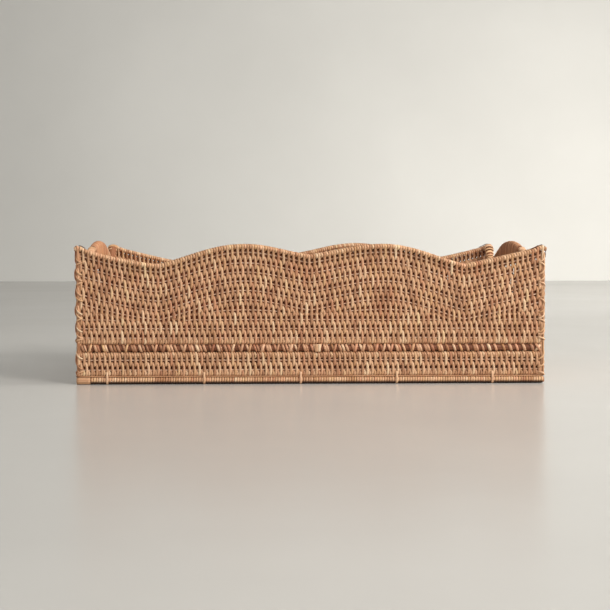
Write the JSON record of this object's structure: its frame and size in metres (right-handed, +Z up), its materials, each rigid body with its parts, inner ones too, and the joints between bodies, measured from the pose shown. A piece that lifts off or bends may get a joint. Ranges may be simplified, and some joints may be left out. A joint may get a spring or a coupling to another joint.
{
  "type": "serving tray",
  "caption": "Rectangular woven rattan serving tray with scalloped walls, a raised floor on a skirt and foot rail, and a cut-out handle in each end.",
  "frame": {"origin": "centre of the footprint, on the surface that the tray stands on", "axes": "+X along the long side, +Y from the front wall to the back wall, +Z up"},
  "size_m": [0.508, 0.356, 0.1537],
  "materials": {
    "cane_weave": "natural cane stitches over rattan rods, satin",
    "cane_wrap": "close-wound natural cane, satin",
    "rattan_rod": "dark rattan rod with its bark, satin",
    "cane_lashing": "loose flat cane strands, satin"
  },
  "bodies": {
    "root": {"corner_post_back_left": "rattan_rod", "corner_post_back_right": "rattan_rod", "corner_post_front_left": "rattan_rod", "corner_post_front_right": "rattan_rod", "floor_cross_bar_left": "rattan_rod", "floor_cross_bar_middle": "rattan_rod", "floor_cross_bar_right": "rattan_rod", "floor_edge_rod_back": "rattan_rod", "floor_edge_rod_front": "rattan_rod", "floor_edge_rod_left": "rattan_rod", "floor_edge_rod_right": "rattan_rod", "floor_lashing_back": "cane_lashing", "floor_lashing_front": "cane_lashing", "floor_lashing_left": "cane_lashing", "floor_lashing_right": "cane_lashing", "floor_mat": "cane_weave", "foot_rail_back": "cane_wrap", "foot_rail_front": "cane_wrap", "foot_rail_left": "cane_wrap", "foot_rail_right": "cane_wrap", "foot_tie_back_1": "cane_lashing", "foot_tie_back_2": "cane_lashing", "foot_tie_back_3": "cane_lashing", "foot_tie_back_4": "cane_lashing", "foot_tie_back_5": "cane_lashing", "foot_tie_front_1": "cane_lashing", "foot_tie_front_2": "cane_lashing", "foot_tie_front_3": "cane_lashing", "foot_tie_front_4": "cane_lashing", "foot_tie_front_5": "cane_lashing", "foot_tie_left_1": "cane_lashing", "foot_tie_left_2": "cane_lashing", "foot_tie_left_3": "cane_lashing", "foot_tie_right_1": "cane_lashing", "foot_tie_right_2": "cane_lashing", "foot_tie_right_3": "cane_lashing", "handle_binding_left": "cane_wrap", "handle_binding_right": "cane_wrap", "handle_grip_left": "cane_wrap", "handle_grip_right": "cane_wrap", "lashing_splice": "cane_lashing", "rim_back": "cane_wrap", "rim_front": "cane_wrap", "rim_left_back": "cane_wrap", "rim_left_front": "cane_wrap", "rim_right_back": "cane_wrap", "rim_right_front": "cane_wrap", "skirt_panel_back": "cane_weave", "skirt_panel_front": "cane_weave", "skirt_panel_left": "cane_weave", "skirt_panel_right": "cane_weave", "wall_panel_back": "cane_weave", "wall_panel_front": "cane_weave", "wall_panel_left": "cane_weave", "wall_panel_right": "cane_weave"}
  },
  "joints": []
}
